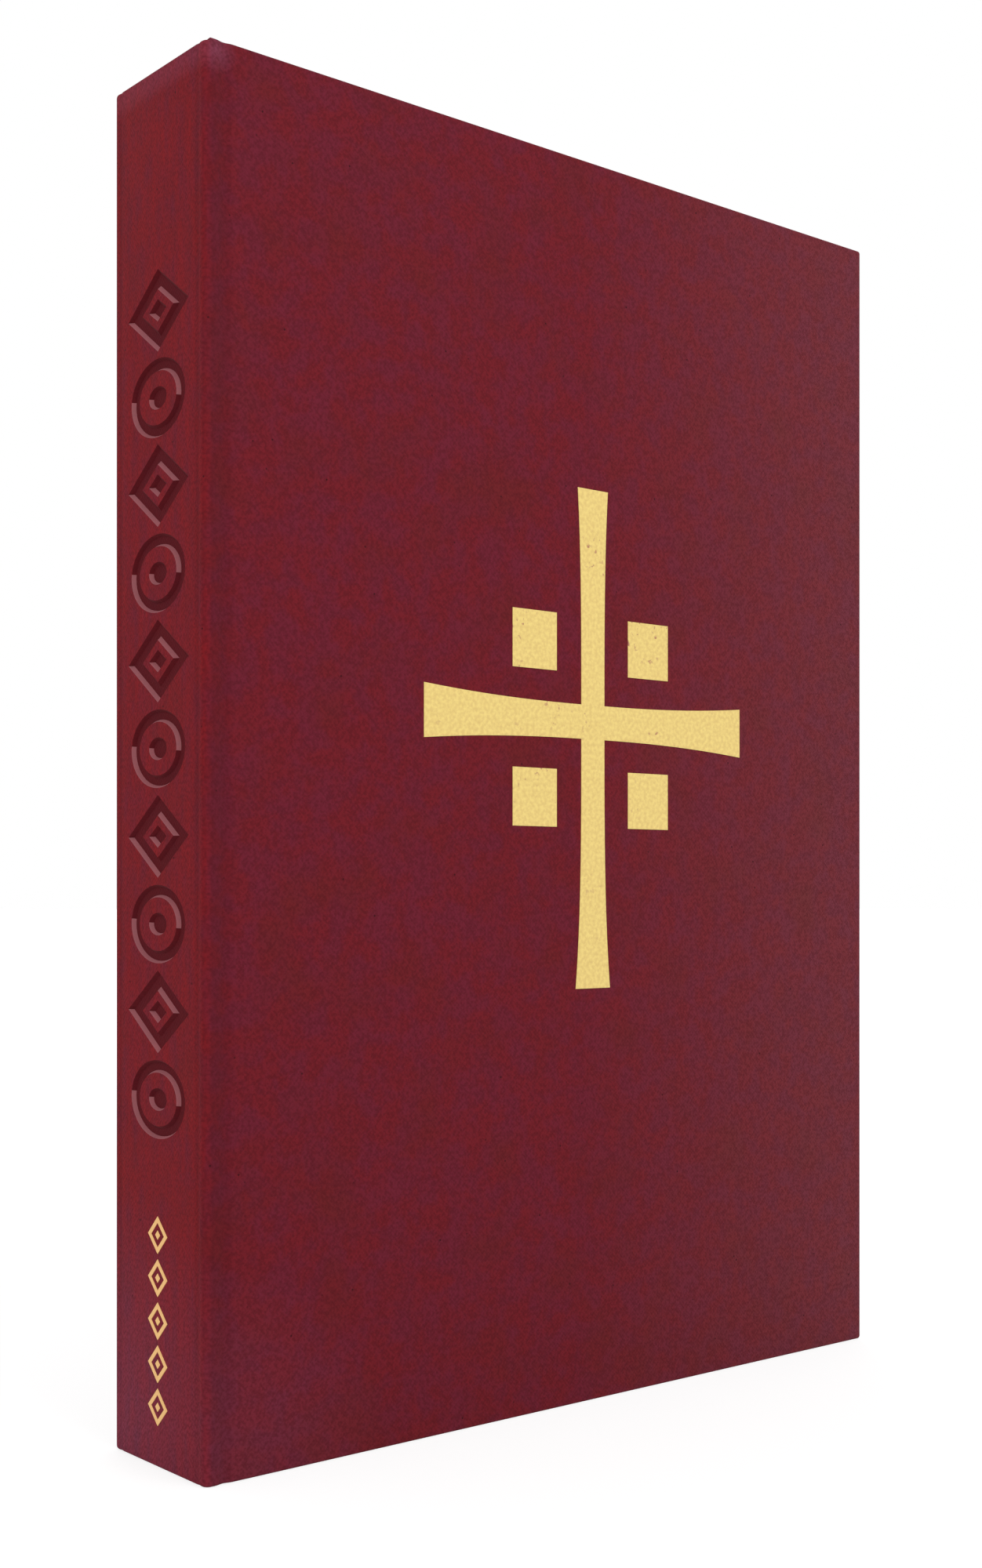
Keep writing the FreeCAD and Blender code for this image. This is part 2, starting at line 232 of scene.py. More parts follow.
# Painted shade in the hollows of the weave and grain, darker where they are low, with the grain's random
# tone.
weave_shade = add(tree, "ShaderNodeMath", {0: threads, 1: 0.35, 2: grain}, operation="MULTIPLY_ADD").outputs[0]
weave_shade = add(tree, "ShaderNodeMapRange", {0: weave_shade, 1: 0.1, 2: 1.1, 3: 0.5, 4: 0.0}).outputs[0]
ends = {0: weave_shade, 6: colour, 7: linear(CLOTH_WEAVE_SHADE)}
colour = add(tree, "ShaderNodeMix", ends, data_type="RGBA").outputs[2]
specks = add(tree, "ShaderNodeTexVoronoi", {"Vector": place, "Scale": 1 / CLOTH_SPECKS}).outputs["Distance"]
specks = add(tree, "ShaderNodeMapRange", {0: specks, 1: 0.03, 2: 0.05, 3: 0.8, 4: 0.0}).outputs[0]
ends = {0: specks, 6: colour, 7: linear(CLOTH_SPECK)}
colour = add(tree, "ShaderNodeMix", ends, data_type="RGBA").outputs[2]
# Painted shade, with the darkening the heat gives the cloth, in the tooled ornaments, and a painted
# highlight on their ledges that face the light.
for mark, painted_tone in (("pressed", CLOTH_PRESSED_AND_SHADED), ("tooled_highlight", CLOTH_TOOLED_HIGHLIGHT)):
    amount = add(tree, "ShaderNodeAttribute", {}, attribute_name=mark).outputs["Fac"]
    ends = {0: amount, 6: colour, 7: linear(painted_tone)}
    colour = add(tree, "ShaderNodeMix", ends, data_type="RGBA").outputs[2]
tree.links.new(colour, shader.inputs["Base Color"])
relief = add(tree, "ShaderNodeMath", {0: grain, 1: 0.5, 2: threads}, operation="MULTIPLY_ADD").outputs[0]
bump = add(tree, "ShaderNodeBump", {"Height": relief, "Distance": 0.04 * MM, "Strength": 0.8})
tree.links.new(bump.outputs[0], shader.inputs["Normal"])


# Cover cloths. Each cover is a 2.5 mm board with the cloth drawn over its outer face and round
# three edges, and glued down inside as turn-ins 15 mm wide. Glue and pressing leave the long edges
# softly rounded.

TURN_IN = 15 * MM
CLOTH_THICKNESS = 0.4 * MM
HINGE_SKIN = 0.15 * MM
EDGE_RADIUS = 0.7 * MM
EDGE_STEPS = 4


def block(low, high):
    """A box between two corners, as a bmesh."""
    bm = bmesh.new()
    size = Vector(high) - Vector(low)
    middle = (Vector(high) + Vector(low)) / 2
    bmesh.ops.create_cube(bm, size=1, matrix=Matrix.Translation(middle) @ Matrix.Diagonal(size.to_4d()))
    return bm


def round_edges(bm, edges, radius, steps=EDGE_STEPS):
    bmesh.ops.bevel(
        bm, geom=list(edges), offset=radius, offset_type="OFFSET", segments=steps, profile=0.5,
        affect="EDGES", material=-1, clamp_overlap=True,
    )


def solid(name, bm):
    """An object of a finished bmesh, with its faces turned outward."""
    bmesh.ops.recalc_face_normals(bm, faces=bm.faces)
    mesh = bpy.data.meshes.new(name)
    bm.to_mesh(mesh)
    bm.free()
    made = bpy.data.objects.new(name, mesh)
    bpy.context.scene.collection.objects.link(made)
    return made


def carve(made, tool):
    """Takes a tool's shape out of a piece, and does away with the tool."""
    cutter = made.modifiers.new("cutter", "BOOLEAN")
    cutter.operation, cutter.solver, cutter.object = "DIFFERENCE", "EXACT", tool
    graph = bpy.context.evaluated_depsgraph_get()
    mesh = bpy.data.meshes.new_from_object(made.evaluated_get(graph))
    made.modifiers.clear()
    made.data = mesh
    bpy.data.objects.remove(tool)


def dress(made, material, soft_angle=20):
    """Gives a piece its finish, and keeps each point's place at rest for the patterns to follow."""
    mesh = made.data
    mesh.materials.clear()
    mesh.materials.append(material)
    mesh.polygons.foreach_set("use_smooth", [True] * len(mesh.polygons))
    mesh.set_sharp_from_angle(angle=math.radians(soft_angle))
    kept = mesh.attributes.new("place", "FLOAT_VECTOR", "POINT")
    for value, vertex in zip(kept.data, mesh.vertices):
        value.vector = vertex.co
    return made


for side, _ in SIDES:
    low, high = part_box(f"{side}_cloth")
    board_low, board_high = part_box(f"{side}_board")
    # A skin of it turns in over the board's hinge edge too, at head and tail.
    bm = block(low - Vector((HINGE_SKIN, 0, 0)), high)
    hinge_x = low.x
    free = [e for e in bm.edges if any(v.co.x > hinge_x + MM for v in e.verts)]
    round_edges(bm, free, EDGE_RADIUS)
    cover = solid(f"{side}_cover_cloth", bm)
    carve(cover, solid("board_room", block(board_low, board_high)))
    faces = (board_low.y, low.y - MM) if side == "back" else (board_high.y, high.y + MM)
    window_low = (hinge_x - MM, min(faces), TURN_IN)
    window_high = (high.x - TURN_IN, max(faces), high.z - TURN_IN)
    carve(cover, solid("window", block(window_low, window_high)))
    dress(cover, book_cloth)
    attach(cover, f"{side}_cover")
    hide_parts(f"{side}_cloth")


# Joint cloths. Between the spine and each cover the same cloth dips into a pressed groove, which
# is the hinge, and folds in at head and tail. Each strip is made in two halves, one from the spine to
# where the pages hold the cloth, the other from there to the cover.

JOINT_STEPS = 14
SPINE_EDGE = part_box("front_joint_cloth")[0].x
BOARD_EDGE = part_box("front_joint_cloth")[1].x
GROOVE_DEPTH = 0.35 * MM
GROOVE_WIDTH = 3.6 * MM
# Where the cloth, held by the pages, parts the spine's half of the strip from the cover's.
FOLD_LINE = SPINE_EDGE + 3.7 * MM
JOINT_END = BOARD_EDGE - HINGE_SKIN
STIFF_CLOTH = 0.65 * MM
BOOK_TOP = cad_box[1].z
FOLD_STEPS = 6


def groove(x):
    """How far the cloth dips here, in a groove close beside the spine's board."""
    across = (x - SPINE_EDGE) / GROOVE_WIDTH
    return GROOVE_DEPTH * math.sin(math.pi * across) ** 2 if across < 1 else 0


def joint_strip(name, sign, start, end):
    """A strip of cloth from one X to another, with the groove's dip and both ends folded in."""
    face = sign * cad_box[1].y
    bm = bmesh.new()
    corners = []
    for end_z, outward in ((cad_box[0].z, -1), (BOOK_TOP, 1)):
        corner = bm.verts.new((start, face, end_z - outward * EDGE_RADIUS))
        corners.append(corner)
        centre = corner.co - Vector((0, sign * EDGE_RADIUS, 0))
        angle = sign * outward * math.pi
        fold = bmesh.ops.spin(bm, geom=[corner], cent=centre, axis=(1, 0, 0), angle=angle, steps=FOLD_STEPS)
        last = next(v for v in fold["geom_last"] if isinstance(v, bmesh.types.BMVert))
        tail = bmesh.ops.extrude_vert_indiv(bm, verts=[last])["verts"]
        bmesh.ops.translate(bm, verts=tail, vec=(0, 0, -outward * (TURN_IN - EDGE_RADIUS)))
    bm.edges.new(corners)
    bmesh.ops.translate(bm, verts=bm.verts, vec=(0, -sign * groove(start), 0))
    line = bm.edges[:]
    step_x = (end - start) / JOINT_STEPS
    for step in range(JOINT_STEPS):
        x = start + step * step_x
        made = bmesh.ops.extrude_edge_only(bm, edges=line)["geom"]
        verts = [v for v in made if isinstance(v, bmesh.types.BMVert)]
        line = [e for e in made if isinstance(e, bmesh.types.BMEdge) and all(v in verts for v in e.verts)]
        bmesh.ops.translate(bm, verts=verts, vec=(step_x, -sign * (groove(x + step_x) - groove(x)), 0))
    bmesh.ops.recalc_face_normals(bm, faces=bm.faces)
    outer = max(bm.faces, key=lambda f: sign * f.calc_center_median().y)
    if outer.normal.y * sign < 0:
        bmesh.ops.reverse_faces(bm, faces=bm.faces)
    bmesh.ops.solidify(bm, geom=bm.faces, thickness=CLOTH_THICKNESS)
    return dress(solid(name, bm), book_cloth, soft_angle=40)


for side, sign in SIDES:
    halves = (
        ("spine", "spine", f"{side}_half", SPINE_EDGE, FOLD_LINE, FOLD_LINE),
        ("cover", f"{side}_half", f"{side}_cover", FOLD_LINE, JOINT_END, JOINT_END - STIFF_CLOTH),
    )
    for part, body_a, body_b, start, end, bend_end in halves:
        strip = joint_strip(f"{side}_joint_{part}_strip", sign, start, end)
        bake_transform(strip)
        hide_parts(f"{side}_joint_cloth")


# Spine. A narrower board under the same cloth, turned in at head and tail. Ten plain ornaments,
# lozenges and ovals by turns, are pressed into it with heated tools and no gold. Their bottoms and the
# walls that do not face up are painted dark, painted shade together with the darkening the heat gives
# the cloth, and the ledges that face up towards the light are painted pale, a painted highlight.

TOOLED_DEPTH = 0.7 * MM
TOOLED_SLOPE = 0.6 * MM
TOOLED_STROKE = 3.1 * MM
TOOLED_COUNT = 10
TOOLED_FROM = 68.5 * MM
TOOLED_PITCH = 16.3 * MM
LOZENGE_HALF = (11 * MM, 7.7 * MM)
OVAL_HALF = (9.8 * MM, 7.3 * MM)
STUD_HALF = (3.2 * MM, 2.1 * MM)
ROUND = 48
SPINE_FACE = cad_box[0].x
# The long edges are rounder than the covers', so that the joint can wrap round them.
SPINE_ROUND = 1.5 * MM
ROUND_STEPS = 6
# A shallow crease runs down the face beside each long edge, where the board's edge was pressed.
CREASE_AT = cad_box[1].y - 2.5 * MM
CREASE_HALF = 0.8 * MM
CREASE_DEPTH = 0.12 * MM
# The board sits a little low in its cloth, which stands up beside it over the joints.
SPINE_DROP = 0.5 * MM
DROP_TO = SPINE_FACE + 1.4 * MM
# How much of the tooled ornaments' painted shade, with the heat's darkening, shows at their bottoms and
# walls, and how much of their painted highlight shows on their ledges.
PRESSED_SHADE, TOOLED_HIGHLIGHT_SHARE = 0.8, 0.6
# A vertex this near a cut lies on it.
CLOSE = 0.01 * MM


def turned(bm, sides, middle_z, half, corners):
    """A lozenge or oval on the spine, turned from corners that are insets from its outline and heights."""
    across, up = half
    reach = across * up / math.hypot(across, up) if sides == 4 else across
    known = set(bm.verts)
    profile = [bm.verts.new((-height, 1 - inset / reach, 0)) for inset, height in corners]
    edges = [bm.edges.new(pair) for pair in zip(profile, profile[1:] + profile[:1])]
    bmesh.ops.spin(
        bm, geom=profile + edges, cent=(0, 0, 0), axis=(1, 0, 0), angle=math.tau, steps=sides,
        use_merge=True,
    )
    made = [v for v in bm.verts if v not in known]
    at = Matrix.Translation((SPINE_FACE, 0, middle_z)) @ Matrix.Diagonal((1, across, up, 1))
    bmesh.ops.transform(bm, verts=made, matrix=at)
    bmesh.ops.remove_doubles(bm, verts=made, dist=0.001 * MM)


def ring(bm, sides, middle_z, half, stroke, levels):
    """A ring with sloping walls, whose levels are insets from the edges of its stroke and heights."""
    inner = [(stroke - inset, height) for inset, height in reversed(levels)]
    turned(bm, sides, middle_z, half, levels + inner)


def stud(bm, sides, middle_z, half, levels):
    """A solid lozenge or oval with sloping walls."""
    across, up = half
    reach = across * up / math.hypot(across, up) if sides == 4 else across
    centre = [(reach, height) for _, height in reversed(levels)]
    turned(bm, sides, middle_z, half, levels + centre)


def tools(sunk):
    """The tools' faces as one piece, sunk by this much below the spine's cloth."""
    bm = bmesh.new()
    # They stand out of the surface by as much as they go in, with the same slope.
    levels = [(-TOOLED_SLOPE, TOOLED_DEPTH - sunk), (TOOLED_SLOPE, -TOOLED_DEPTH - sunk)]
    for number in range(TOOLED_COUNT):
        sides, half = (4, LOZENGE_HALF) if number % 2 else (ROUND, OVAL_HALF)
        middle_z = TOOLED_FROM + number * TOOLED_PITCH
        ring(bm, sides, middle_z, half, TOOLED_STROKE, levels)
        stud(bm, sides, middle_z, STUD_HALF, levels)
    return solid("tools", bm)


def long_edges(bm):
    """The two upright edges beside the spine's face."""
    face_x = min(v.co.x for v in bm.verts)
    on_face = [e for e in bm.edges if all(v.co.x == face_x for v in e.verts)]
    return [e for e in on_face if e.verts[0].co.y == e.verts[1].co.y]


low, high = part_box("spine_board")
high.z -= SPINE_DROP
bm = block(low, high)
round_edges(bm, long_edges(bm), SPINE_ROUND - CLOTH_THICKNESS, ROUND_STEPS)
board = solid("spine_board_tooled", bm)
carve(board, tools(CLOTH_THICKNESS))
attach(board, "spine")
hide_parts("spine_board")
bm = block(low, high + Vector((MM, 0, 0)))
round_edges(bm, long_edges(bm), SPINE_ROUND - CLOTH_THICKNESS, ROUND_STEPS)
room = solid("board_room", bm)
carve(room, tools(CLOTH_THICKNESS))

low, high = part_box("spine_cloth")
bm = block(low, (SPINE_EDGE, high.y, high.z))
round_edges(bm, long_edges(bm), SPINE_ROUND, ROUND_STEPS)
level = [e for e in bm.edges if e.verts[0].co.z == e.verts[1].co.z]
round_edges(bm, [e for e in level if any(v.co.x < SPINE_EDGE - MM / 4 for v in e.verts)], EDGE_RADIUS)
cuts = [((DROP_TO, 0, 0), (1, 0, 0))] + [((0, y, 0), (0, 1, 0)) for y in (high.y - MM, MM - high.y)]
for point, normal in cuts:
    everything = bm.verts[:] + bm.edges[:] + bm.faces[:]
    bmesh.ops.bisect_plane(bm, geom=everything, plane_co=point, plane_no=normal)
lowered = [
    v for v in bm.verts
    if v.co.z > BOOK_TOP / 2 and (v.co.x < DROP_TO - CLOSE or abs(v.co.y) < high.y - MM + CLOSE)
]
bmesh.ops.translate(bm, verts=lowered, vec=(0, 0, -SPINE_DROP))
for y in (-CREASE_AT, CREASE_AT):
    for off in (-CREASE_HALF, 0, CREASE_HALF):
        everything = bm.verts[:] + bm.edges[:] + bm.faces[:]
        bmesh.ops.bisect_plane(bm, geom=everything, plane_co=(0, y + off, 0), plane_no=(0, 1, 0))
    crease = [v for v in bm.verts if abs(v.co.y - y) < CLOSE and v.co.x < SPINE_FACE + EDGE_RADIUS]
    bmesh.ops.translate(bm, verts=crease, vec=(CREASE_DEPTH, 0, 0))
spine = solid("spine_cloth_panel", bm)
carve(spine, tools(0))
carve(spine, room)
dress(spine, book_cloth)
# Painted shade on the tooled bottoms and the walls that do not face up, with the heat's darkening, and a
# painted highlight on the ledges that face up towards the light.
marks = {name: spine.data.attributes.new(name, "FLOAT", "FACE") for name in ("pressed", "tooled_highlight")}
for face in spine.data.polygons:
    sunk = face.center.x - SPINE_FACE
    inside = abs(face.center.y) < LOZENGE_HALF[0] + MM and TURN_IN < face.center.z < BOOK_TOP - TURN_IN
    tooled = inside and 0.05 * MM < sunk < TOOLED_DEPTH + 0.05 * MM and face.normal.x < -0.2
    facing_up = face.normal.z - 0.6 * face.normal.y > 0.25
    marks["pressed"].data[face.index].value = PRESSED_SHADE * (tooled and not facing_up)
    marks["tooled_highlight"].data[face.index].value = TOOLED_HIGHLIGHT_SHARE * (tooled and facing_up)
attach(spine, "spine")
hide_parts("spine_cloth")

bm = bmesh.new()
for end_z in (TURN_IN / 2, BOOK_TOP - TURN_IN / 2):
    middle = Vector((SPINE_EDGE + CLOTH_THICKNESS / 2, 0, end_z - (end_z > BOOK_TOP / 2) * SPINE_DROP))
    size = Vector((CLOTH_THICKNESS, 2 * abs(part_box("mull_spine")[0].y), TURN_IN))
    bmesh.ops.create_cube(bm, size=1, matrix=Matrix.Translation(middle) @ Matrix.Diagonal(size.to_4d()))
round_edges(bm, bm.edges, CLOTH_THICKNESS / 3, 2)
turn_ins = dress(solid("spine_turn_ins", bm), book_cloth)
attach(turn_ins, "spine")
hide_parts("spine_cloth")


# Gold stamping. Pale gold foil, transferred by a heated die: a flared cross with a square in each
# quarter on the front cover, and a chain of lozenges at the foot of the spine. The foil is thin
# enough to show the weave, and is satin rather than bright.

GOLD = "#ecd27f"
GOLD_WARM = "#dfc072"
GOLD_ON_SPINE = "#ecba74"
FOIL_WORN = "#b0765a"
FOIL_STAND = 0.09 * MM
FOIL_SLOPE = 0.05 * MM
ARM_STEPS = 10
STEM_FLARE, ARM_FLARE = 3.2, 2.2

gold_foil, tree, shader = new_finish("gold_stamping_foil", Metallic=0.25, Roughness=0.5)
place = add(tree, "ShaderNodeAttribute", {}, attribute_name="place").outputs["Vector"]
threads = plain_weave(tree, place, CLOTH_THREAD)
warmth = noise_between(tree, place, 0.8 * MM, 0.3, 0.7, detail=3.0)
ends = {0: warmth, 6: linear(GOLD), 7: linear(GOLD_WARM)}
colour = add(tree, "ShaderNodeMix", ends, data_type="RGBA").outputs[2]
# The spine's foil is redder. Here and there it is worn to flecks, and the cloth shows.
on_spine = add(tree, "ShaderNodeSeparateXYZ", {0: place}).outputs[0]
on_spine = add(tree, "ShaderNodeMath", {0: on_spine, 1: SPINE_FACE + MM}, operation="LESS_THAN").outputs[0]
ends = {0: on_spine, 6: colour, 7: linear(GOLD_ON_SPINE)}
colour = add(tree, "ShaderNodeMix", ends, data_type="RGBA").outputs[2]
worn = noise_between(tree, place, 14 * MM, 0.5, 0.7)
flecks = noise_between(tree, place, 1.1 * MM, 0.6, 0.72, detail=3.0)
worn = add(tree, "ShaderNodeMath", {0: worn, 1: flecks}, operation="MULTIPLY").outputs[0]
ends = {0: worn, 6: colour, 7: linear(FOIL_WORN)}
colour = add(tree, "ShaderNodeMix", ends, data_type="RGBA").outputs[2]
tree.links.new(colour, shader.inputs["Base Color"])
bump = add(tree, "ShaderNodeBump", {"Height": threads, "Distance": 0.02 * MM, "Strength": 0.5})
tree.links.new(bump.outputs[0], shader.inputs["Normal"])

low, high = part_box("front_emblem")
# The widths of the cross at its crossing and at its ends.
STEM, STEM_TOP, STEM_FOOT = 6.6 * MM, 8.6 * MM, 9.8 * MM
ARM, ARM_END = 7.2 * MM, 10.8 * MM
CROSSING = Vector(((low.x + high.x) / 2, 0, 142.8 * MM))
SQUARE, SQUARE_OFFSET = 12 * MM, 16.2 * MM
BESIDE = (high.x - low.x) / 2

bm = bmesh.new()
at = Matrix.Translation(CROSSING) @ Matrix.Rotation(math.radians(90), 4, "X")
scale = Matrix.Diagonal((STEM, ARM, 1, 1))
bmesh.ops.create_grid(bm, x_segments=1, y_segments=1, size=0.5, matrix=at @ scale)
crossing_edges = bm.edges[:]
for direction, length, width, end in (
    (Vector((0, 0, 1)), high.z - CROSSING.z, STEM, STEM_TOP),
    (Vector((0, 0, -1)), CROSSING.z - low.z, STEM, STEM_FOOT),
    (Vector((1, 0, 0)), BESIDE, ARM, ARM_END),
    (Vector((-1, 0, 0)), BESIDE, ARM, ARM_END),
):
    half = (ARM if direction.z else STEM) / 2
    edge = max(crossing_edges, key=lambda e: (e.verts[0].co + e.verts[1].co - 2 * CROSSING) @ direction)
    for step in range(1, ARM_STEPS + 1):
        share = step / ARM_STEPS
        made = bmesh.ops.extrude_edge_only(bm, edges=[edge])["geom"]
        edge = next(e for e in made if isinstance(e, bmesh.types.BMEdge) and not e.link_faces[1:])
        reach = half + (length - half) * share
        spread = (width + (end - width) * share ** (STEM_FLARE if direction.z else ARM_FLARE)) / 2
        for vertex in edge.verts:
            off = vertex.co - CROSSING
            sideways = off - direction * (off @ direction)
            vertex.co = CROSSING + direction * reach + sideways.normalized() * spread
for across in (-1, 1):
    for up in (-1, 1):
        offset = Matrix.Translation((across * SQUARE_OFFSET, 0, up * SQUARE_OFFSET))
        scale = Matrix.Diagonal((SQUARE, SQUARE, 1, 1))
        bmesh.ops.create_grid(bm, x_segments=1, y_segments=1, size=0.5, matrix=offset @ at @ scale)
bmesh.ops.remove_doubles(bm, verts=bm.verts, dist=0.001 * MM)
for vertex in bm.verts:
    vertex.co.y = high.y
outline = bmesh.ops.extrude_face_region(bm, geom=bm.faces[:])["geom"]
front = [v for v in outline if isinstance(v, bmesh.types.BMVert)]
bmesh.ops.translate(bm, verts=front, vec=(0, cad_box[0].y - FOIL_STAND - high.y, 0))
emblem = dress(solid("front_cross_foil", bm), gold_foil)
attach(emblem, "front_cover")
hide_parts("front_emblem")

low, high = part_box("spine_ornament")
LINKS = 5
LINK_HALF = (high.y - low.y) / 2
LINK_PITCH = (high.z - low.z - 2 * LINK_HALF) / (LINKS - 1)
LINK_STROKE = 0.9 * MM
bm = bmesh.new()
levels = [(0, -0.05 * MM), (FOIL_SLOPE, FOIL_STAND)]
for link in range(LINKS):
    z = low.z + LINK_HALF + link * LINK_PITCH
    ring(bm, 4, z, (LINK_HALF, LINK_HALF), LINK_STROKE, levels)
    stud(bm, 4, z, (LINK_STROKE, LINK_STROKE), levels)
chain = dress(solid("spine_chain_foil", bm), gold_foil)
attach(chain, "spine")
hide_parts("spine_ornament")


# Endpapers. A folded sheet of heavy cream paper at each end of the pages: one half is pasted to the
# cover over the turn-ins, whose edge shows through it as a soft step, and the other is a free leaf.
# A strip of it crosses the joint over a strip of mull.

TURN_IN_STEP = 0.12 * MM
STRIP_STEPS = 36
LEAF_STEPS = 120
LEAF_BEND = 15 * MM
PAPER_BEND = 1.9 * MM
PAPER = "#efe8d8"
PAPER_SHADE = "#ece4d2"
MULL_THREAD = 0.8 * MM
MULL_COTTON = "#e8e1d0"
MULL_GAP = "#a89c86"

endpaper, tree, shader = new_finish("endpaper_cream_uncoated", Roughness=0.85, Specular_IOR_Level=0.2)
place = add(tree, "ShaderNodeAttribute", {}, attribute_name="place").outputs["Vector"]
fibres = noise_between(tree, place, 1.5 * MM, 0.3, 0.7, detail=5.0)
clouds = noise_between(tree, place, 30 * MM, 0.3, 0.7)
ends = {0: clouds, 6: linear(PAPER), 7: linear(PAPER_SHADE)}
colour = add(tree, "ShaderNodeMix", ends, data_type="RGBA").outputs[2]
tree.links.new(colour, shader.inputs["Base Color"])
bump = add(tree, "ShaderNodeBump", {"Height": fibres, "Distance": 0.02 * MM, "Strength": 0.4})
tree.links.new(bump.outputs[0], shader.inputs["Normal"])

mull, tree, shader = new_finish("mull_starched_cotton", Roughness=0.9, Specular_IOR_Level=0.1)
place = add(tree, "ShaderNodeAttribute", {}, attribute_name="place").outputs["Vector"]
threads = plain_weave(tree, place, MULL_THREAD)
ends = {0: threads, 6: linear(MULL_GAP), 7: linear(MULL_COTTON)}
colour = add(tree, "ShaderNodeMix", ends, data_type="RGBA").outputs[2]
tree.links.new(colour, shader.inputs["Base Color"])
bump = add(tree, "ShaderNodeBump", {"Height": threads, "Distance": 0.1 * MM})
tree.links.new(bump.outputs[0], shader.inputs["Normal"])


def leaf(low, high, steps):
    """A flat sheet between two corners, cut into strips along its width."""
    bm = bmesh.new()
    middle = (low + high) / 2
    at = Matrix.Translation(middle) @ Matrix.Rotation(math.radians(90), 4, "X")
    size = Matrix.Diagonal((high.x - low.x, high.z - low.z, 1, 1))
    bmesh.ops.create_grid(bm, x_segments=steps, y_segments=1, size=0.5, matrix=at @ size)
    return bm


for side, sign in SIDES:
    low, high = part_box(f"{side}_pastedown")
    thickness = high.y - low.y
    bm = leaf(low, high, 1)
    outer_edge = low.z - cad_box[0].z
    face = bm.faces[:]
    bmesh.ops.inset_region(bm, faces=face, thickness=TURN_IN - outer_edge, use_even_offset=True)
    bmesh.ops.inset_region(bm, faces=face, thickness=MM, use_even_offset=True)
    bmesh.ops.translate(bm, verts=face[0].verts, vec=(0, sign * TURN_IN_STEP, 0))
    bmesh.ops.solidify(bm, geom=bm.faces[:], thickness=thickness)
    mean_y = sum(v.co.y for v in bm.verts) / len(bm.verts)
    bmesh.ops.translate(bm, verts=bm.verts, vec=(0, (low.y + high.y) / 2 - mean_y, 0))
    pasted = dress(solid(f"{side}_pasted_endpaper", bm), endpaper, soft_angle=10)
    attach(pasted, f"{side}_cover")
    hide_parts(f"{side}_pastedown")

    low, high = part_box(f"{side}_flyleaf")
    bm = leaf(low, high, LEAF_STEPS)
    bmesh.ops.solidify(bm, geom=bm.faces[:], thickness=thickness)
    free = dress(solid(f"{side}_free_endpaper", bm), endpaper)
    bend_end = FOLD_LINE + LEAF_BEND
    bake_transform(free)
    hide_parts(f"{side}_flyleaf")

    for node, material, slot in (("hinge_paper", endpaper, "endpaper"), ("hinge_mull", mull, "mull")):
        low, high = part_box(f"{side}_{node}")
        bm = leaf(low, high, STRIP_STEPS)
        bmesh.ops.solidify(bm, geom=bm.faces[:], thickness=high.y - low.y)
        strip = dress(solid(f"{side}_{node}_strip", bm), material, soft_angle=35)
        start, end = (high.x - PAPER_BEND, 0, 0), (high.x, 0, 0)
        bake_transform(strip)
        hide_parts(f"{side}_{node}")


# Sections. Fourteen folded gatherings of cream book paper, trimmed on three sides. Their edges show
# the separate leaves. Their folds stay with the spine, and near them the leaves are cut into narrow steps.

LEAF_LAYERS = 8
TRIM_PLAY = 0.06 * MM
BEND_LENGTH = 32 * MM
BEND_STEPS = 20
LEAF_WHITE = "#f1ebdc"
LEAF_SHADE = "#ede5d3"
# Painted shade for the gaps between the leaves.
LEAF_GAP_SHADE = "#c9bda3"

leaves, tree, shader = new_finish("leaves_cream_book_paper", Roughness=0.9, Specular_IOR_Level=0.15)
place = add(tree, "ShaderNodeAttribute", {}, attribute_name="place").outputs["Vector"]
# Leaves are 0.115 mm thick, which is too fine to show, so the lines stand for three or so each.
lines = noise_between(tree, place, 0.25 * MM, 0.35, 0.6, stretch=(0.004, 1, 0.004))
# Lines show on the trimmed edges and the folds, and the pages themselves are plain.
trimmed = add(tree, "ShaderNodeAttribute", {}, attribute_name="trimmed").outputs["Fac"]
fibres = noise_between(tree, place, 1.5 * MM, 0.3, 0.7, detail=5.0)
ends = {0: fibres, 6: linear(LEAF_WHITE), 7: linear(LEAF_SHADE)}
page = add(tree, "ShaderNodeMix", ends, data_type="RGBA").outputs[2]
# The dark between the lines is painted shade in the gaps between the leaves.
ends = {0: lines, 6: linear(LEAF_GAP_SHADE), 7: linear(LEAF_WHITE)}
edge = add(tree, "ShaderNodeMix", ends, data_type="RGBA").outputs[2]
ends = {0: trimmed, 6: page, 7: edge}
colour = add(tree, "ShaderNodeMix", ends, data_type="RGBA").outputs[2]
tree.links.new(colour, shader.inputs["Base Color"])
lines = add(tree, "ShaderNodeMath", {0: lines, 1: trimmed}, operation="MULTIPLY").outputs[0]
bump = add(tree, "ShaderNodeBump", {"Height": lines, "Distance": 0.03 * MM, "Strength": 0.6})
tree.links.new(bump.outputs[0], shader.inputs["Normal"])

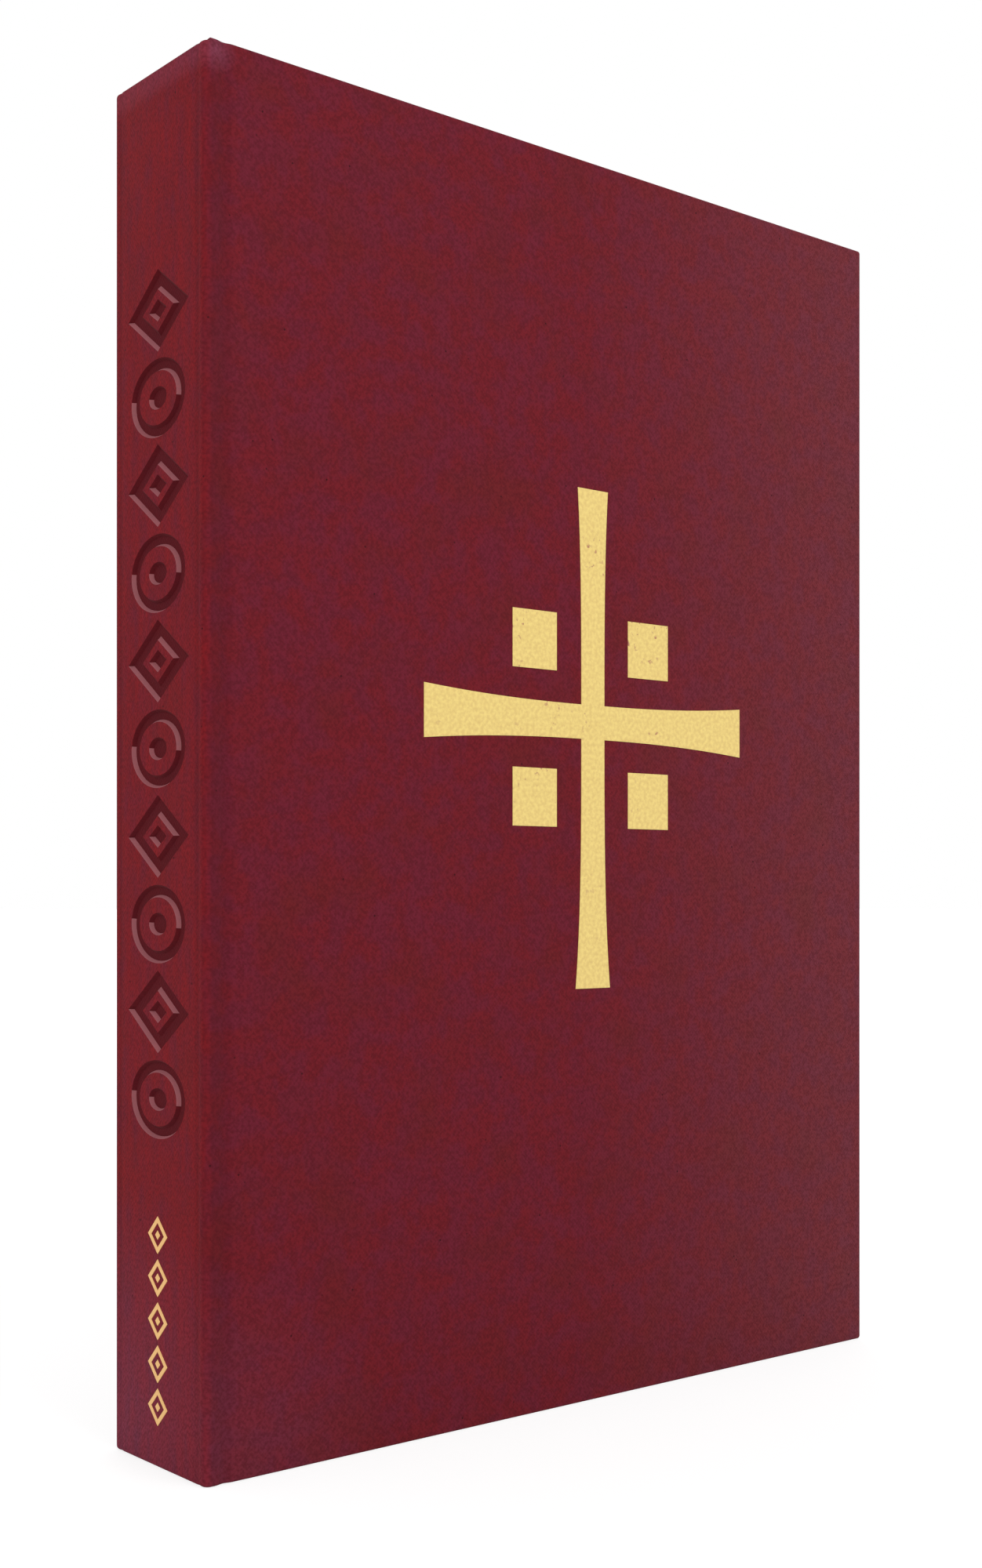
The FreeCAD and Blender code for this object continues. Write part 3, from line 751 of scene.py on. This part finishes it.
random.seed(14)
sections = sorted(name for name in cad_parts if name.startswith("signature"))
for name in sections:
    low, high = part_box(name)
    radius = (high.y - low.y) / 2
    layer = (high.y - low.y) / LEAF_LAYERS
    bm = bmesh.new()
    for number in range(LEAF_LAYERS):
        bottom = low.y + number * layer
        off_middle = abs(bottom + layer / 2 - low.y - radius)
        fold = radius - math.sqrt(radius**2 - off_middle**2)
        trim = [random.uniform(0, TRIM_PLAY) for _ in range(3)]
        size = Vector((high.x - low.x - fold - trim[0], layer, high.z - low.z - trim[1] - trim[2]))
        middle = Vector((low.x + fold, bottom, low.z + trim[1])) + size / 2
        bmesh.ops.create_cube(bm, size=1, matrix=Matrix.Translation(middle) @ Matrix.Diagonal(size.to_4d()))
    for step in range(1, BEND_STEPS):
        cut = Vector((low.x + BEND_LENGTH * step / BEND_STEPS, 0, 0))
        everything = bm.verts[:] + bm.edges[:] + bm.faces[:]
        bmesh.ops.bisect_plane(bm, geom=everything, plane_co=cut, plane_no=(1, 0, 0))
    section = dress(solid(name.replace("signature", "sewn_section"), bm), leaves)
    cut = section.data.attributes.new("trimmed", "FLOAT", "FACE")
    for face in section.data.polygons:
        cut.data[face.index].value = float(abs(face.normal.y) < 0.5)
    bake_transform(section)
    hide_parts(name)


# Head and tail bands. A cord wrapped in cream and burgundy silk, glued across the ends of the folds
# on a tape, to finish the spine. Each turn of silk stands up as a small ridge.

BAND_STITCH = 1.0 * MM
BAND_RADIUS = 1.1 * MM
BAND_TAPE = 0.2 * MM
BAND_RIDGE = 0.12 * MM
BAND_SIDES = 14
BAND_CREAM = "#efe5cf"
BAND_BURGUNDY = "#7a1f2b"

headband_silk, tree, shader = new_finish("headband_silk_stripes", Roughness=0.55, Specular_IOR_Level=0.4)
place = add(tree, "ShaderNodeAttribute", {}, attribute_name="place").outputs["Vector"]
along = add(tree, "ShaderNodeSeparateXYZ", {0: place}).outputs[1]
turns = add(tree, "ShaderNodeMath", {0: along, 1: math.pi / (2 * BAND_STITCH)}, operation="MULTIPLY")
stripe = add(tree, "ShaderNodeMath", {0: turns.outputs[0]}, operation="SINE").outputs[0]
stripe = add(tree, "ShaderNodeMapRange", {0: stripe, 1: -0.1, 2: 0.1}).outputs[0]
ends = {0: stripe, 6: linear(BAND_CREAM), 7: linear(BAND_BURGUNDY)}
colour = add(tree, "ShaderNodeMix", ends, data_type="RGBA").outputs[2]
tree.links.new(colour, shader.inputs["Base Color"])

for name in ("headband", "tailband"):
    low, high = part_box(name)
    top = name == "headband"
    middle_x = high.x - BAND_RADIUS
    middle_z = high.z - BAND_RADIUS if top else low.z + BAND_RADIUS
    rings = int((high.y - low.y) / BAND_STITCH) * 4
    bm = bmesh.new()
    loops = []
    for number in range(rings + 1):
        y = low.y + (high.y - low.y) * number / rings
        swell = BAND_RIDGE * abs(math.sin(math.pi * (y - low.y) / BAND_STITCH))
        at = Matrix.Translation((middle_x, y, middle_z)) @ Matrix.Rotation(math.radians(90), 4, "X")
        capped, size = number in (0, rings), BAND_RADIUS - BAND_RIDGE + swell
        circle = bmesh.ops.create_circle(bm, cap_ends=capped, segments=BAND_SIDES, radius=size, matrix=at)
        loops.append(list(dict.fromkeys(e for v in circle["verts"] for e in v.link_edges)))
    for near, far in zip(loops, loops[1:]):
        bmesh.ops.bridge_loops(bm, edges=near + far)
    tape_low = (low.x, low.y, low.z if top else middle_z)
    tape_high = (low.x + BAND_TAPE, high.y, middle_z if top else high.z)
    middle = (Vector(tape_low) + Vector(tape_high)) / 2
    size = Vector(tape_high) - Vector(tape_low)
    bmesh.ops.create_cube(bm, size=1, matrix=Matrix.Translation(middle) @ Matrix.Diagonal(size.to_4d()))
    band = dress(solid(f"{name}_silk", bm), headband_silk, soft_angle=40)
    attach(band, "spine")
    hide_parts(name)


# Inside the case. Grey boards, the card that levels them between the turn-ins, the mull and the
# paper lining on the backs of the sections, and the sewing thread. All are hidden in a sound book.


def flecked(name, roughness, specular, tones, size, low, detail, stretch=(1, 1, 1)):
    """A finish in two close tones, mixed by noise with lumps of this size."""
    finish, tree, shader = new_finish(name, Roughness=roughness, Specular_IOR_Level=specular)
    place = add(tree, "ShaderNodeTexCoord", {}).outputs["Object"]
    flecks = noise_between(tree, place, size, low, 0.7, detail, stretch)
    ends = {0: flecks, 6: linear(tones[0]), 7: linear(tones[1])}
    colour = add(tree, "ShaderNodeMix", ends, data_type="RGBA").outputs[2]
    tree.links.new(colour, shader.inputs["Base Color"])
    return finish


board_finish = flecked("greyboard_pressed_pulp", 0.95, 0.1, ("#8f867a", "#a59c8e"), 0.8 * MM, 0.35, 4)
card_finish = flecked("infill_white_card", 0.9, 0.1, ("#ddd5c4", "#e6dfd0"), 1.2 * MM, 0.35, 4)
kraft_finish = flecked(
    "lining_brown_kraft", 0.85, 0.2, ("#8c6a45", "#a37e55"), 2 * MM, 0.3, 5, stretch=(1, 1, 0.2)
)
thread_finish = flecked(
    "sewing_thread_waxed_linen", 0.6, 0.4, ("#d8cbaa", "#efe6cc"), 0.3 * MM, 0.3, 2, stretch=(1, 0.3, 1)
)

mull_finish, tree, shader = new_finish("mull_glued_down", Roughness=0.9, Specular_IOR_Level=0.1)
place = add(tree, "ShaderNodeTexCoord", {}).outputs["Object"]
threads = plain_weave(tree, place, MULL_THREAD)
ends = {0: threads, 6: linear(MULL_GAP), 7: linear(MULL_COTTON)}
colour = add(tree, "ShaderNodeMix", ends, data_type="RGBA").outputs[2]
tree.links.new(colour, shader.inputs["Base Color"])

for node, material in (
    ("front_board", board_finish),
    ("back_board", board_finish),
    ("front_infill", card_finish),
    ("back_infill", card_finish),
    ("front_mull_flange", mull_finish),
    ("back_mull_flange", mull_finish),
    ("mull_spine", mull_finish),
    ("spine_lining", kraft_finish),
    ("sewing_thread", thread_finish),
):
    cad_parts[node].material_slots[0].material = material
board.data.materials.clear()
board.data.materials.append(board_finish)


# Stage. A white paper floor that runs out of sight, and soft studio light. The floor glows where it is
# seen, so that it is white with no more light on the book, and less so near the book, where it keeps
# a soft shadow.

FLOOR_RADIUS = 12
FLOOR_WHITE = "#f4f4f2"
FLOOR_SHADE = 0.3
FLOOR_GLOW = (0.76, 1.0)
FLOOR_GLOW_REACH = (0.3, 1.3)

floor_finish, tree, shader = new_finish("floor_paper", Roughness=0.9, Specular_IOR_Level=0.1)
rays = add(tree, "ShaderNodeLightPath", {}).outputs
seen = add(tree, "ShaderNodeMath", {0: rays["Is Camera Ray"], 1: rays["Is Glossy Ray"]}, operation="ADD")
seen = {0: seen.outputs[0], 1: rays["Is Transmission Ray"]}
seen = add(tree, "ShaderNodeMath", seen, operation="ADD", use_clamp=True)
ends = {0: seen.outputs[0], 6: linear(FLOOR_WHITE), 7: [FLOOR_SHADE] * 3 + [1]}
colour = add(tree, "ShaderNodeMix", ends, data_type="RGBA").outputs[2]
tree.links.new(colour, shader.inputs["Base Color"])
place = add(tree, "ShaderNodeTexCoord", {}).outputs["Object"]
away = add(tree, "ShaderNodeVectorMath", {0: place}, operation="LENGTH").outputs["Value"]
reach = {0: away, 1: FLOOR_GLOW_REACH[0], 2: FLOOR_GLOW_REACH[1], 3: FLOOR_GLOW[0], 4: FLOOR_GLOW[1]}
glow = add(tree, "ShaderNodeMapRange", reach, interpolation_type="SMOOTHSTEP").outputs[0]
glow = add(tree, "ShaderNodeMath", {0: glow, 1: seen.outputs[0]}, operation="MULTIPLY")
shader.inputs["Emission Color"].default_value = (1, 1, 1, 1)
tree.links.new(glow.outputs[0], shader.inputs["Emission Strength"])
bm = bmesh.new()
bmesh.ops.create_circle(bm, cap_ends=True, segments=64, radius=FLOOR_RADIUS)
floor = solid("floor", bm)
floor.data.materials.append(floor_finish)

world = bpy.data.worlds.new("studio")
bpy.context.scene.world = world
world.use_nodes = True
tree = world.node_tree
background = tree.nodes["Background"]
rays = add(tree, "ShaderNodeLightPath", {}).outputs
seen = add(tree, "ShaderNodeMath", {0: rays["Is Camera Ray"], 1: rays["Is Glossy Ray"]}, operation="ADD")
seen = {0: seen.outputs[0], 1: rays["Is Transmission Ray"]}
seen = add(tree, "ShaderNodeMath", seen, operation="ADD", use_clamp=True)
background.inputs["Color"].default_value = (1, 1, 1, 1)
strength = add(tree, "ShaderNodeMapRange", {0: seen.outputs[0], 1: 0.0, 2: 1.0, 3: 0.7, 4: 1.0})
tree.links.new(strength.outputs[0], background.inputs["Strength"])


def lamp(name, azimuth, elevation, distance, size, power):
    """A square soft box that faces the middle of the book."""
    light = bpy.data.lights.new(name, "AREA")
    light.energy, light.size = power, size
    made = bpy.data.objects.new(name, light)
    bpy.context.scene.collection.objects.link(made)
    turn, rise = math.radians(azimuth), math.radians(elevation)
    away = Vector((math.sin(turn) * math.cos(rise), -math.cos(turn) * math.cos(rise), math.sin(rise)))
    made.location = away * distance + Vector((0, 0, BOOK_TOP / 2))
    made.rotation_euler = away.to_track_quat("Z", "Y").to_euler()


lamp("key", azimuth=5, elevation=45, distance=1.6, size=0.9, power=8)
lamp("fill", azimuth=-75, elevation=35, distance=1.8, size=1.2, power=5)
lamp("back", azimuth=150, elevation=40, distance=1.8, size=1.2, power=5)

bpy.context.scene.view_settings.view_transform = "Standard"


# Camera, a little below the middle of the book's height, turned towards the front corner of the spine.

camera = bpy.data.objects.new("camera", bpy.data.cameras.new("camera"))
bpy.context.scene.collection.objects.link(camera)
bpy.context.scene.camera = camera
camera.data.lens = 44.05
camera.data.shift_y = 0.0691
camera.location = (cad_box[0].x - 0.1807, cad_box[0].y - 0.2969, 0.107)
camera.rotation_euler = (math.radians(90), 0, math.radians(-39.8))
